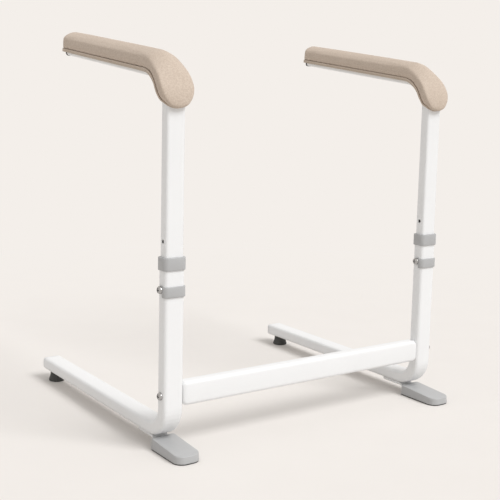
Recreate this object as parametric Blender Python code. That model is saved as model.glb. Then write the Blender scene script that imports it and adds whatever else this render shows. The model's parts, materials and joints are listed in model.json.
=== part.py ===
"""A chair standing aid: two bent steel side frames with a low bar between them.

Each side frame has a floor leg that bends up into a lower tube. An upper tube slides
in it, is held at one of four heights by a screw, and bends back into a padded armrest.

Metres, +Z up. X runs from one side frame to the other and +Y runs back along the legs.
The origin is on the floor, in the middle of the frame. The two side frames are alike,
not mirrored, so both adjusting screws are on the -X side.
"""

import math

import bmesh
import bpy
from mathutils import Matrix, Vector

# Layout of the frame, measured from the centre line of each upright
POST_SPACING = 0.610
LEG_REACH = 0.518
LEG_HEIGHT = 0.0345
LEG_BEND = 0.045
BASE_TOP = 0.340
BAR_HEIGHT = 0.1045

# Lower tube, crossbar and upper tube: width across the frame, depth in the bend's plane
BASE_WIDTH = 0.040
BASE_DEPTH = 0.025
BAR_TALL = 0.044
BAR_DEEP = 0.025
BASE_CORNER = 0.0065
BASE_WALL = 0.0015
UPPER_WALL = 0.0012
SLIDE_GAP = 0.0003
TOUCH = 0.0003

# Upper tube and armrest tube, which rises towards the back
UPPER_STRAIGHT_TOP = 0.610
ARM_BEND = 0.060
ARM_RISE = math.radians(7)
ARM_RUN = 0.344
BOLT_ROOM = 0.0125

# Height setting: the screw sits below the lower tube's mouth
ADJUST_DROP = 0.0455
HOLE_PITCH = 0.042
HOLES_BELOW = 1
HOLES_ABOVE = 2
SCREW_SIZE = 0.006
SCREW_TRAVEL = 0.0022
HEAD_WIDTH = 0.0145
HEAD_HEIGHT = 0.0055
FIT = 0.0003

# Collar around the lower tube's mouth and clip around the screw's height
COLLAR_BELOW = 0.0120
COLLAR_ABOVE = 0.0115
COLLAR_WALL = 0.003
CLIP_DROP = 0.0135
CLIP_HEIGHT = 0.0195
CLIP_WALL = 0.0025
CLIP_BACK_WRAP = 0.009
CLIP_SIDE_COVER = 0.0065

# Plugs in the open ends of the tubes
PLUG_FACE = 0.004
PLUG_CROWN = 0.0025
PLUG_DEPTH = 0.018
PLUG_WALL = 0.0018
GLIDE_FACE = 0.003
GLIDE_CROWN = 0.001
ARM_PLUG_FACE = 0.003
ARM_PLUG_CROWN = 0.002
INSERT_FACE = 0.0015
INSERT_DEPTH = 0.026

# Front foot, its sole and the steel bar that carries it
FOOT_FRONT = 0.075
FOOT_BACK = 0.024
FOOT_WIDTH = 0.056
FOOT_BOTTOM = 0.0018
FOOT_TOP = 0.0168
FOOT_FRONT_CORNER = 0.017
FOOT_BACK_CORNER = 0.006
FOOT_EDGE = 0.0028
FOOT_DRAFT = 0.0006
SOLE_INSET = 0.0006
SOLE_PAD_INSET = 0.008
SOLE_PAD_TOP = 0.0040
BRACKET_WIDTH = 0.030
BRACKET_THICK = 0.0055
BRACKET_DROP = 0.0075
BRACKET_FRONT = 0.045
BRACKET_BACK = 0.100
BRACKET_STEP_FRONT = 0.027
BRACKET_STEP_BACK = 0.038
FOOT_SCREWS = (-0.026, 0.006)

# Rear foot
REAR_FOOT_INSET = 0.024
REAR_FOOT_WIDTH = 0.034
REAR_FOOT_TOP_WIDTH = 0.027
REAR_FOOT_RECESS = 0.007

# Small screws, used in the feet and the armrests
SMALL_SCREW = 0.0045
SMALL_HEAD = 0.009
SMALL_HEAD_HEIGHT = 0.0028
NUT_WIDTH = 0.009
NUT_HEIGHT = 0.004

# Armrest: pad over a moulded shell that straddles the tube
TONGUE_LENGTH = 0.0054
PAD_OVERHANG = 0.012
PAD_WIDTH = 0.062
TONGUE_WIDTH = 0.069
SEAM_LEVEL = 0.0033
PAD_THICK = 0.030
TONGUE_THICK = 0.021
PAD_SHOULDER = 0.62
PAD_WIDEST = 0.40
CROWN_ROUND = 0.80
TONGUE_ROUND = 0.52
CROWN_STEPS = 12
PAD_PULL = 0.0016
TIP_ROUND = 0.033
REAR_ROUND = 0.024
REAR_SQUARE = 2.4
END_FALL = 0.016
RAIL_HEIGHT = 0.009
TONGUE_RAIL = 0.004
RAIL_INSET = 0.0008
SADDLE_TOP = 0.016
SADDLE_WALL = 0.002
SEAM_CLIMB = 0.008
PAD_EDGE = 0.0006
RAMP = 0.0005
SLIGHT = 0.0002
SCREW_SKIN = 0.0008
TONGUE_SCREW = 0.030
ARMREST_SCREWS = (0.070, 0.255)

# Fineness of the curves
CORNER_STEPS = 3
BEND_STEPS = 10
TURN_STEPS = 20
HOLE_STEPS = 12
FOOT_STEPS = 5

# Sizes that follow from those above
UPPER_WIDTH = BASE_WIDTH - 2 * (BASE_WALL + SLIDE_GAP)
UPPER_DEPTH = BASE_DEPTH - 2 * (BASE_WALL + SLIDE_GAP)
UPPER_CORNER = BASE_CORNER - BASE_WALL - SLIDE_GAP
ADJUST_HEIGHT = BASE_TOP - ADJUST_DROP
COLLAR_BOTTOM = BASE_TOP - COLLAR_BELOW
COLLAR_TOP = BASE_TOP + COLLAR_ABOVE
CLIP_BOTTOM = ADJUST_HEIGHT - CLIP_DROP
UPPER_BOTTOM = BAR_HEIGHT + HOLES_ABOVE * HOLE_PITCH + BOLT_ROOM
LEG_BOTTOM = LEG_HEIGHT - BASE_DEPTH / 2
REAR_FOOT_REACH = LEG_REACH - REAR_FOOT_INSET
REACH_BACK = LEG_REACH + TOUCH + PLUG_FACE
POST_Y = (FOOT_FRONT - REACH_BACK) / 2
PAD_TIP = UPPER_STRAIGHT_TOP - TONGUE_LENGTH
BEND_ANGLE = math.pi / 2 - ARM_RISE
ARM_START = TONGUE_LENGTH + ARM_BEND * BEND_ANGLE
PAD_LENGTH = ARM_START + ARM_RUN + PAD_OVERHANG
CHANNEL_HALF = UPPER_WIDTH / 2 + TOUCH
CHANNEL_TOP = UPPER_DEPTH / 2 + TOUCH
SADDLE_HALF = CHANNEL_HALF + SADDLE_WALL
CHANNEL_END = ARM_START + ARM_RUN + ARM_PLUG_FACE + 2 * TOUCH
SADDLE_END = CHANNEL_END + SADDLE_WALL
TIP_SHARE = (SADDLE_HALF + PAD_PULL + PAD_EDGE + 3 * TOUCH) / (TONGUE_WIDTH / 2)
SHELL_START = TIP_ROUND * (1 - math.sqrt(1 - TIP_SHARE ** 2))

FINISHES = {
    "white_paint": ((0.86, 0.86, 0.85, 1.0), 0.32, 0.0),
    "white_plastic": ((0.82, 0.82, 0.80, 1.0), 0.45, 0.0),
    "grey_plastic": ((0.44, 0.44, 0.43, 1.0), 0.50, 0.0),
    "dark_plastic": ((0.10, 0.10, 0.10, 1.0), 0.50, 0.0),
    "black_rubber": ((0.05, 0.05, 0.05, 1.0), 0.80, 0.0),
    "steel": ((0.62, 0.61, 0.60, 1.0), 0.25, 1.0),
    "beige_cover": ((0.60, 0.50, 0.41, 1.0), 0.75, 0.0),
    "beige_plastic": ((0.50, 0.41, 0.33, 1.0), 0.60, 0.0),
}


# Helpers for meshes

def mesh_from(bm, name):
    """Close the bmesh, turn its faces outwards and return it as a mesh."""
    bmesh.ops.remove_doubles(bm, verts=bm.verts, dist=1e-7)
    bmesh.ops.recalc_face_normals(bm, faces=bm.faces)
    mesh = bpy.data.meshes.new(name)
    bm.to_mesh(mesh)
    bm.free()
    return mesh


def draw_loop(bm, points):
    """Draw a closed loop of edges through the points."""
    verts = [bm.verts.new(point) for point in points]
    return [bm.edges.new((verts[i - 1], verts[i])) for i in range(len(verts))]


def rounded_rect(width, depth, corner, height=0.0):
    """Points of a rounded rectangle in the XY plane, counted from the +X side."""
    points = []
    for quarter, (sx, sy) in enumerate(((1, 1), (-1, 1), (-1, -1), (1, -1))):
        centre = Vector((sx * (width / 2 - corner), sy * (depth / 2 - corner), height))
        for step in range(CORNER_STEPS + 1):
            angle = math.pi / 2 * (quarter + step / CORNER_STEPS)
            points.append(centre + corner * Vector((math.cos(angle), math.sin(angle), 0)))
    return points


def loft(name, rings, closed=False):
    """Extrude the first ring from ring to ring, then cap the ends or join them."""
    bm = bmesh.new()
    slot = bm.verts.layers.int.new("slot")
    first = draw_loop(bm, rings[0])
    for index, vert in enumerate(bm.verts):
        vert[slot] = index
    edges = first
    for ring in rings[1:] + (rings[:1] if closed else []):
        made = bmesh.ops.extrude_edge_only(bm, edges=edges)["geom"]
        verts = {item for item in made if isinstance(item, bmesh.types.BMVert)}
        for vert in verts:
            vert.co = ring[vert[slot]]
        edges = [item for item in made if isinstance(item, bmesh.types.BMEdge)
                 and verts.issuperset(item.verts)]
    if not closed:
        for rim in (first, edges):
            bmesh.ops.contextual_create(bm, geom=rim)
    bmesh.ops.triangulate(bm, faces=bm.faces)
    return mesh_from(bm, name)


def turned(name, profile, closed=False, steps=TURN_STEPS):
    """Turn a profile of (radius, height) points about Z."""
    bm = bmesh.new()
    verts = [bm.verts.new((radius, 0, height)) for radius, height in profile]
    pairs = list(zip(verts, verts[1:]))
    if closed:
        pairs.append((verts[-1], verts[0]))
    edges = [bm.edges.new(pair) for pair in pairs]
    bmesh.ops.spin(bm, geom=verts + edges, cent=(0, 0, 0), axis=(0, 0, 1),
                   angle=math.tau, steps=steps, use_merge=True)
    return mesh_from(bm, name)


def block(name, low, high):
    """A plain block between two corners."""
    corners = Vector(low), Vector(high)
    size = corners[1] - corners[0]
    bm = bmesh.new()
    bmesh.ops.create_cube(bm, size=1, matrix=Matrix.Translation(sum(corners, Vector()) / 2)
                          @ Matrix.Diagonal((*size, 1)))
    return mesh_from(bm, name)


def pin(name, radius, start, end):
    """A round bar from one point to another, for drilling holes."""
    start, end = Vector(start), Vector(end)
    along = end - start
    turn = Vector((0, 0, 1)).rotation_difference(along).to_matrix().to_4x4()
    bm = bmesh.new()
    bmesh.ops.create_cone(bm, cap_ends=True, segments=HOLE_STEPS, radius1=radius,
                          radius2=radius, depth=along.length,
                          matrix=Matrix.Translation((start + end) / 2) @ turn)
    return mesh_from(bm, name)


def combine(blank, tools, operation="DIFFERENCE"):
    """Cut each tool from the blank, or join it on, and return the mesh that is left."""
    body = bpy.data.objects.new("blank", blank)
    bpy.context.collection.objects.link(body)
    helpers = [body]
    for tool in tools:
        helper = bpy.data.objects.new("tool", tool)
        bpy.context.collection.objects.link(helper)
        helpers.append(helper)
        modifier = body.modifiers.new("combine", "BOOLEAN")
        modifier.operation = operation
        modifier.solver = "EXACT"
        modifier.object = helper
    depsgraph = bpy.context.evaluated_depsgraph_get()
    mesh = bpy.data.meshes.new_from_object(body.evaluated_get(depsgraph))
    for helper in helpers:
        bpy.data.objects.remove(helper)
    mesh.name = blank.name
    return mesh


def bent_tube(name, width, depth, corner, wall, start, ahead, runs, radius, angle):
    """Sweep a hollow rounded section along a run, round a bend and along a second run.

    The bend turns about X. The section's width stays along X.
    """
    bm = bmesh.new()
    start, ahead = Vector(start), Vector(ahead)
    turn = Vector((0, 0, 1)).rotation_difference(ahead).to_matrix()
    side = Matrix.Rotation(-math.pi / 2, 3, "X") @ ahead
    onward = Matrix.Rotation(-angle, 3, "X") @ ahead
    mouth = []
    for inset in (0, wall):
        ring = rounded_rect(width - 2 * inset, depth - 2 * inset, corner - inset)
        mouth += draw_loop(bm, [start + turn @ point for point in ring])
    edges = push(bm, mouth, ahead * runs[0])
    spun = bmesh.ops.spin(bm, geom=edges, cent=start + ahead * runs[0] + side * radius,
                          axis=(1, 0, 0), angle=-angle, steps=BEND_STEPS)
    edges = [item for item in spun["geom_last"] if isinstance(item, bmesh.types.BMEdge)]
    edges = push(bm, edges, onward * runs[1])
    for rim in (mouth, edges):
        bmesh.ops.triangle_fill(bm, edges=rim, use_beauty=True)
    return mesh_from(bm, name)


def push(bm, edges, step):
    """Extrude loops of edges in a straight line and return the edges at the far end."""
    made = bmesh.ops.extrude_edge_only(bm, edges=edges)["geom"]
    verts = {item for item in made if isinstance(item, bmesh.types.BMVert)}
    bmesh.ops.translate(bm, verts=list(verts), vec=step)
    return [item for item in made if isinstance(item, bmesh.types.BMEdge)
            and verts.issuperset(item.verts)]


# Helpers for objects

def finish(name):
    """Make the Principled material that FINISHES describes."""
    colour, roughness, metallic = FINISHES[name]
    material = bpy.data.materials.new(name)
    material.use_nodes = True
    shader = material.node_tree.nodes["Principled BSDF"]
    shader.inputs["Base Color"].default_value = colour
    shader.inputs["Roughness"].default_value = roughness
    shader.inputs["Metallic"].default_value = metallic
    material.diffuse_color = colour
    return material


def hold(name, at, parent=None):
    """Add an empty that carries pieces."""
    empty = bpy.data.objects.new(name, None)
    bpy.context.collection.objects.link(empty)
    empty.location = at
    empty.parent = parent
    return empty


def add(name, mesh, material, parent, at=(0, 0, 0), facing=(0, 0, 1)):
    """Add one piece to what carries it, with its own +Z turned to face a direction.

    The direction lies along X, or in the YZ plane.
    """
    mesh.materials.clear()
    mesh.materials.append(material)
    mesh.shade_smooth()
    mesh.set_sharp_from_angle(angle=math.radians(32))
    piece = bpy.data.objects.new(name, mesh)
    bpy.context.collection.objects.link(piece)
    piece.parent = parent
    piece.location = at
    across, back, up = facing
    if across:
        piece.rotation_euler.y = math.copysign(math.pi / 2, across)
    else:
        piece.rotation_euler.x = math.atan2(-back, up)
    return piece


# Tubes

def base_tube():
    """The leg and the lower tube: one tube, bent once."""
    blank = bent_tube("base_tube", BASE_WIDTH, BASE_DEPTH, BASE_CORNER, BASE_WALL,
                      start=(0, LEG_REACH, LEG_HEIGHT), ahead=(0, -1, 0),
                      runs=(LEG_REACH - LEG_BEND, BASE_TOP - LEG_HEIGHT - LEG_BEND),
                      radius=LEG_BEND, angle=math.pi / 2)
    outside = BASE_WIDTH / 2 + TOUCH
    bore = SCREW_SIZE / 2 + FIT
    tools = [
        pin("bar_hole", bore, (-outside, 0, BAR_HEIGHT), (outside, 0, BAR_HEIGHT)),
        pin("adjusting_hole", bore, (-outside, 0, ADJUST_HEIGHT), (0, 0, ADJUST_HEIGHT)),
        pin("foot_hole", SMALL_SCREW / 2 + FIT, (0, REAR_FOOT_REACH, LEG_BOTTOM - TOUCH),
            (0, REAR_FOOT_REACH, LEG_HEIGHT)),
    ]
    return combine(blank, tools)


def upper_tube():
    """The sliding tube with its row of holes, bent back into the armrest tube."""
    blank = bent_tube("upper_tube", UPPER_WIDTH, UPPER_DEPTH, UPPER_CORNER, UPPER_WALL,
                      start=(0, 0, UPPER_BOTTOM), ahead=(0, 0, 1),
                      runs=(UPPER_STRAIGHT_TOP - UPPER_BOTTOM, ARM_RUN),
                      radius=ARM_BEND, angle=BEND_ANGLE)
    outside = UPPER_WIDTH / 2 + TOUCH
    tools = []
    for place in range(-HOLES_BELOW, HOLES_ABOVE + 1):
        height = ADJUST_HEIGHT + place * HOLE_PITCH
        tools.append(pin("height_hole", SCREW_SIZE / 2 + FIT,
                         (-outside, 0, height), (0, 0, height)))
    for spot, outward in armrest_screw_places():
        away = UPPER_DEPTH / 2 + TOUCH
        tools.append(pin("screw_hole", SMALL_SCREW / 2 + FIT, spot, spot + outward * away))
        tools.append(pin("access_hole", SMALL_HEAD / 2 + 2 * FIT, spot,
                         spot - outward * away))
    return combine(blank, tools)


def crossbar():
    """The straight bar between the side frames, its section standing on edge."""
    length = crossbar_length()
    rings = []
    for inset, height in ((0, -length / 2), (0, length / 2),
                          (BASE_WALL, length / 2), (BASE_WALL, -length / 2)):
        rings.append(rounded_rect(BAR_TALL - 2 * inset, BAR_DEEP - 2 * inset,
                                  BASE_CORNER - inset, height))
    mesh = loft("crossbar", rings, closed=True)
    mesh.transform(Matrix.Rotation(math.pi / 2, 4, "Y"))
    return mesh


def crossbar_length():
    """What is left between the uprights once both inserts' faces have their room."""
    return POST_SPACING - BASE_WIDTH - 2 * (INSERT_FACE + 2 * TOUCH)


# Plugs and inserts

def end_plug(name, width, depth, corner, wall, face, crown):
    """A cap with a cup behind it that fills the mouth of a tube. Its face is at +Z."""
    inner = wall + TOUCH
    cup = inner + PLUG_WALL
    rings = [
        rounded_rect(width - 2 * crown, depth - 2 * crown, max(corner - crown, 0.001), face),
        rounded_rect(width - 0.6 * crown, depth - 0.6 * crown, corner - 0.3 * crown,
                     face - 0.3 * crown),
        rounded_rect(width, depth, corner, face - crown),
        rounded_rect(width, depth, corner, 0),
        rounded_rect(width - 2 * inner, depth - 2 * inner, corner - inner, 0),
        rounded_rect(width - 2 * inner, depth - 2 * inner, corner - inner, -PLUG_DEPTH),
        rounded_rect(width - 2 * cup, depth - 2 * cup, max(corner - cup, 0.001),
                     -PLUG_DEPTH),
        rounded_rect(width - 2 * cup, depth - 2 * cup, max(corner - cup, 0.001),
                     -TOUCH),
    ]
    return loft(name, rings)


def crossbar_insert():
    """The threaded block in the bar's end, with a thin face that meets the upright."""
    inner = BASE_WALL + TOUCH
    rings = [
        rounded_rect(BAR_TALL, BAR_DEEP, BASE_CORNER, INSERT_FACE),
        rounded_rect(BAR_TALL, BAR_DEEP, BASE_CORNER, 0),
        rounded_rect(BAR_TALL - 2 * inner, BAR_DEEP - 2 * inner, BASE_CORNER - inner, 0),
        rounded_rect(BAR_TALL - 2 * inner, BAR_DEEP - 2 * inner, BASE_CORNER - inner,
                     -INSERT_DEPTH),
    ]
    return combine(loft("crossbar_insert", rings),
                   [pin("thread", SCREW_SIZE / 2 + FIT, (0, 0, -2 * INSERT_DEPTH),
                        (0, 0, 2 * INSERT_FACE))])


# Screws and nuts

def screw(name, length):
    """A pan head screw with a cross recess, in the size that can be seen from outside.

    Its head stands on Z = 0 and its shank runs down from there.
    """
    head, shank = HEAD_WIDTH / 2, SCREW_SIZE / 2
    profile = [
        (0, HEAD_HEIGHT), (0.45 * head, 0.95 * HEAD_HEIGHT),
        (0.78 * head, 0.74 * HEAD_HEIGHT), (0.97 * head, 0.36 * HEAD_HEIGHT), (head, 0),
        (shank, 0), (shank, 0.3 * shank - length), (0.7 * shank, -length), (0, -length),
    ]
    arm, half, floor = 0.55 * head, 0.15 * head, 0.45 * HEAD_HEIGHT
    slots = [block("slot", (-arm, -half, floor), (arm, half, 2 * HEAD_HEIGHT)),
             block("slot", (-half, -arm, floor), (half, arm, 2 * HEAD_HEIGHT))]
    return combine(turned(name, profile), slots)


def small_screw(name, length):
    """A small screw, placed in the same way as the large one."""
    head, shank = SMALL_HEAD / 2, SMALL_SCREW / 2
    profile = [(0, SMALL_HEAD_HEIGHT), (0.6 * head, SMALL_HEAD_HEIGHT),
               (head, 0.4 * SMALL_HEAD_HEIGHT), (head, 0), (shank, 0), (shank, -length),
               (0, -length)]
    return turned(name, profile, steps=HOLE_STEPS)


def nut():
    """A hexagonal nut standing on Z = 0."""
    bm = bmesh.new()
    bmesh.ops.create_cone(bm, cap_ends=True, segments=6, radius1=NUT_WIDTH / math.sqrt(3),
                          radius2=NUT_WIDTH / math.sqrt(3), depth=NUT_HEIGHT,
                          matrix=Matrix.Translation((0, 0, NUT_HEIGHT / 2)))
    return combine(mesh_from(bm, "rear_foot_nut"),
                   [pin("thread", SMALL_SCREW / 2 + FIT, (0, 0, -NUT_HEIGHT),
                        (0, 0, 2 * NUT_HEIGHT))])


# Collar and clip

def collar():
    """The sleeve on the lower tube's mouth, which narrows to guide the upper tube."""
    seat = TOUCH
    shelf = BASE_TOP + TOUCH
    edge = 0.5 * COLLAR_WALL
    around = BASE_WIDTH, BASE_DEPTH, BASE_CORNER
    slide = UPPER_WIDTH, UPPER_DEPTH, UPPER_CORNER

    def ring(section, offset, height):
        width, depth, corner = section
        return rounded_rect(width + 2 * offset, depth + 2 * offset, corner + offset, height)

    wall = seat + COLLAR_WALL
    rings = [
        ring(around, seat, COLLAR_BOTTOM), ring(around, wall - 0.2 * edge, COLLAR_BOTTOM),
        ring(around, wall, COLLAR_BOTTOM + 0.3 * edge), ring(around, wall, COLLAR_TOP - edge),
        ring(around, wall - 0.3 * edge, COLLAR_TOP - 0.3 * edge),
        ring(around, wall - edge, COLLAR_TOP), ring(slide, SLIDE_GAP, COLLAR_TOP),
        ring(slide, SLIDE_GAP, shelf), ring(around, seat, shelf),
    ]
    return loft("collar", rings, closed=True)


def clip():
    """A spring band that snaps on from the front and stops short of the screw."""
    edge = 0.3 * CLIP_WALL
    top = CLIP_BOTTOM + CLIP_HEIGHT

    def ring(offset, height):
        return rounded_rect(BASE_WIDTH + 2 * offset, BASE_DEPTH + 2 * offset,
                            BASE_CORNER + offset, height)

    wall = TOUCH + CLIP_WALL
    blank = loft("height_clip", [
        ring(TOUCH, CLIP_BOTTOM), ring(wall - edge, CLIP_BOTTOM),
        ring(wall, CLIP_BOTTOM + edge), ring(wall, top - edge),
        ring(wall - edge, top), ring(TOUCH, top),
    ], closed=True)
    far = BASE_WIDTH
    gap = block("gap", (-far, CLIP_SIDE_COVER - BASE_DEPTH / 2, 0),
                (BASE_WIDTH / 2 - CLIP_BACK_WRAP, far, BASE_TOP))
    notch = pin("notch", HEAD_WIDTH / 2 + 2 * FIT, (-far, 0, ADJUST_HEIGHT),
                (0, 0, ADJUST_HEIGHT))
    return combine(blank, [gap, notch])


# Feet

def foot_outline(inset, height):
    """The front foot's plan, drawn in by inset, with large front and small back corners."""
    half = FOOT_WIDTH / 2 - inset
    points = []
    corners = ((1, 1, FOOT_BACK_CORNER), (-1, 1, FOOT_BACK_CORNER),
               (-1, -1, FOOT_FRONT_CORNER), (1, -1, FOOT_FRONT_CORNER))
    for quarter, (sx, sy, size) in enumerate(corners):
        radius = max(size - inset, 0.001)
        reach = (FOOT_BACK if sy > 0 else FOOT_FRONT) - inset
        centre = Vector((sx * (half - radius), sy * (reach - radius), height))
        for step in range(FOOT_STEPS + 1):
            angle = math.pi / 2 * (quarter + step / FOOT_STEPS)
            points.append(centre + radius * Vector((math.cos(angle), math.sin(angle), 0)))
    return points


def front_foot():
    """The moulded foot, with a slot from behind for the steel bar."""
    shoulder = FOOT_TOP - FOOT_EDGE
    blank = loft("front_foot", [
        foot_outline(0, FOOT_BOTTOM),
        foot_outline(FOOT_DRAFT, shoulder),
        foot_outline(FOOT_DRAFT + 0.3 * FOOT_EDGE, FOOT_TOP - 0.3 * FOOT_EDGE),
        foot_outline(FOOT_DRAFT + FOOT_EDGE, FOOT_TOP),
    ])
    half = BRACKET_WIDTH / 2 + TOUCH
    low, high = bracket_tongue()
    slot = block("slot", (-half, -BRACKET_FRONT - TOUCH, low - TOUCH),
                 (half, 2 * FOOT_BACK, high + TOUCH))
    recess = loft("recess", [foot_outline(SOLE_PAD_INSET - TOUCH, 0),
                             foot_outline(SOLE_PAD_INSET - TOUCH, SOLE_PAD_TOP + TOUCH)])
    tools = [slot, recess]
    for place in FOOT_SCREWS:
        tools.append(pin("screw_hole", SMALL_SCREW / 2 + FIT, (0, place, 0),
                         (0, place, high)))
        tools.append(pin("head_seat", SMALL_HEAD / 2 + FIT, (0, place, 0),
                         (0, place, foot_screw_seat() + TOUCH)))
    return combine(blank, tools)


def foot_screw_seat():
    """The level at which the front foot's screws have the underside of their heads."""
    return SOLE_PAD_TOP + SMALL_HEAD_HEIGHT


def front_foot_sole():
    """The rubber sole, with a raised pad that keys into the foot."""
    plate = FOOT_BOTTOM - TOUCH
    return loft("front_foot_sole", [
        foot_outline(SOLE_INSET, 0), foot_outline(SOLE_INSET, plate),
        foot_outline(SOLE_PAD_INSET, plate), foot_outline(SOLE_PAD_INSET, sole_top()),
    ])


def sole_top():
    """The top of the sole's raised pad, just under the screw heads."""
    return SOLE_PAD_TOP - TOUCH


def bracket_tongue():
    """The lowest and highest level of the bracket's tongue inside the foot."""
    high = LEG_BOTTOM - TOUCH - BRACKET_DROP
    return high - BRACKET_THICK, high


def front_foot_bracket():
    """A flat steel bar, joggled so that it runs from under the leg into the foot."""
    low, high = bracket_tongue()
    half = BRACKET_WIDTH / 2
    stations = ((-BRACKET_FRONT, 0), (BRACKET_STEP_FRONT, 0), (BRACKET_STEP_BACK, 1),
                (BRACKET_BACK - half, 1))
    rings = []
    for place, raised in stations:
        rise = raised * BRACKET_DROP
        rings.append(bar_section(half, place, low + rise, high + rise))
    for step in range(1, FOOT_STEPS):
        angle = math.pi / 2 * step / FOOT_STEPS
        rings.append(bar_section(half * math.cos(angle),
                                 BRACKET_BACK - half + half * math.sin(angle),
                                 low + BRACKET_DROP, high + BRACKET_DROP))
    tools = [pin("thread", SMALL_SCREW / 2 + FIT, (0, place, 0), (0, place, LEG_BOTTOM))
             for place in FOOT_SCREWS]
    return combine(loft("front_foot_bracket", rings), tools)


def bar_section(half, place, low, high):
    """A section of the flat bar, with its lower edges eased."""
    ease = 0.2 * BRACKET_THICK
    return [Vector(point) for point in (
        (-half, place, high), (-half, place, low + ease), (-half + ease, place, low),
        (half - ease, place, low), (half, place, low + ease), (half, place, high))]


def rear_foot():
    """A rubber foot that flares to the floor, with a recess for its screw."""
    top = LEG_BOTTOM - TOUCH
    wide, narrow = REAR_FOOT_WIDTH / 2, REAR_FOOT_TOP_WIDTH / 2
    bore = SMALL_SCREW / 2 + FIT
    well = SMALL_HEAD / 2 + FIT
    profile = [
        (bore, REAR_FOOT_RECESS), (well, REAR_FOOT_RECESS), (well, 0), (wide - 0.001, 0),
        (wide, 0.001), (wide, 0.004), (narrow + 0.3 * (wide - narrow), 0.5 * top),
        (narrow, 0.75 * top), (narrow, top - 0.001), (narrow - 0.001, top), (bore, top),
    ]
    return turned("rear_foot", profile, closed=True)


# Armrest

def arm_frame(station):
    """A point on the tube's centre line and the outward side of the bend there.

    Stations count from the tip of the tongue, up the upright, round the bend and back.
    """
    if station < TONGUE_LENGTH:
        return Vector((0, 0, PAD_TIP + station)), Vector((0, -1, 0))
    angle = min((station - TONGUE_LENGTH) / ARM_BEND, BEND_ANGLE)
    outward = Vector((0, -math.cos(angle), math.sin(angle)))
    spot = Vector((0, ARM_BEND, UPPER_STRAIGHT_TOP)) + ARM_BEND * outward
    return spot + max(station - ARM_START, 0) * arm_direction(), outward


def arm_direction():
    """The way the armrest runs back from the bend."""
    return Vector((0, math.cos(ARM_RISE), math.sin(ARM_RISE)))


def smooth(share):
    """Ease from 0 to 1."""
    share = min(max(share, 0), 1)
    return share * share * (3 - 2 * share)


def blend(station, along_arm, at_tongue):
    """Change from the arm's value to the tongue's on the way round the bend."""
    share = smooth((ARM_START - station) / (ARM_START - TIP_ROUND))
    return along_arm + (at_tongue - along_arm) * share


def ramp(station, start, length=RAMP):
    """Rise from 0 to 1 over a short length."""
    return min(max((station - start) / length, 0), 1)


def pad_half(station):
    """Half the pad's width: slim along the arm, flared and round at the tongue."""
    half = blend(station, PAD_WIDTH, TONGUE_WIDTH) / 2
    if station < TIP_ROUND:
        half *= math.sqrt(1 - (1 - station / TIP_ROUND) ** 2)
    rear = station - (PAD_LENGTH - REAR_ROUND)
    if rear > 0:
        half *= (1 - (rear / REAR_ROUND) ** REAR_SQUARE) ** (1 / REAR_SQUARE)
    return half


def pad_top(station):
    """The crown's outward level, which falls away at both ends."""
    end = min(station, PAD_LENGTH - station)
    fall = max(1 - end / END_FALL, 0)
    share = PAD_SHOULDER + (1 - PAD_SHOULDER) * math.sqrt(1 - fall ** 2)
    return SEAM_LEVEL + blend(station, PAD_THICK, TONGUE_THICK) * share


def seam_level(station):
    """The seam's outward level, which climbs in front of the upright near the tip."""
    climb = smooth((SHELL_START + SEAM_CLIMB - station) / SEAM_CLIMB)
    return SEAM_LEVEL + (CHANNEL_TOP - SEAM_LEVEL) * climb


def pad_stations():
    """Stations for the pad's loft: close in the round ends and the bend."""
    marks = [TIP_ROUND * (1 - math.cos(math.pi / 2 * step / 7)) for step in range(1, 8)]
    marks += [TONGUE_LENGTH + (ARM_START - TONGUE_LENGTH) * step / BEND_STEPS
              for step in range(BEND_STEPS + 1)]
    marks += [ARM_START + (PAD_LENGTH - REAR_ROUND - ARM_START) * step / 4
              for step in range(1, 4)]
    marks += [PAD_LENGTH - REAR_ROUND * math.cos(math.pi / 2 * step / 6)
              for step in range(6)]
    return marks


def with_steps(start, end, steps):
    """Sort the stations from start to end, with a short step's two ends kept apart."""
    kept = [start, end]
    for step in steps:
        kept += [step, step + RAMP]
    for mark in pad_stations():
        if start < mark < end and min(abs(mark - other) for other in kept) > 2 * RAMP:
            kept.append(mark)
    return sorted(kept)


def pad_section(station):
    """One outline of the pad: drawn in at the seam, crowned, with a channel below."""
    spot, outward = arm_frame(station)
    half, level, top = pad_half(station), seam_level(station), pad_top(station)
    widest = level + PAD_WIDEST * (top - level)
    rounding = blend(station, CROWN_ROUND, TONGUE_ROUND)
    pull = min(PAD_PULL, 0.3 * half)
    flat = [(-half + pull, level), (-half + 0.35 * pull, (level + widest) / 2)]
    for step in range(CROWN_STEPS + 1):
        angle = math.pi * (1 - step / CROWN_STEPS)
        side, up = math.cos(angle), abs(math.sin(angle))
        flat.append((half * math.copysign(abs(side) ** rounding, side),
                     widest + (top - widest) * up ** rounding))
    flat += [(-side, up) for side, up in flat[1::-1]]
    over = ramp(station, SHELL_START - TOUCH - RAMP)
    room = CHANNEL_HALF + (SADDLE_HALF + TOUCH - CHANNEL_HALF) * over
    room = min(room, half - pull - PAD_EDGE)
    over -= ramp(station, SADDLE_END + TOUCH)
    roof = max(level + SLIGHT, CHANNEL_TOP * (station < SHELL_START))
    roof += (SADDLE_TOP + TOUCH - roof) * over
    flat += [(room, level), (room, roof), (-room, roof), (-room, level)]
    return [spot + Vector((side, 0, 0)) + outward * up for side, up in flat]


def armrest_pad():
    """The padded cover, hollowed below for the shell's saddle and the tube."""
    steps = (SHELL_START - TOUCH - RAMP, SADDLE_END + TOUCH)
    return loft("armrest_pad", [pad_section(station) for station in
                                with_steps(PAD_EDGE, PAD_LENGTH - PAD_EDGE, steps)])


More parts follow.
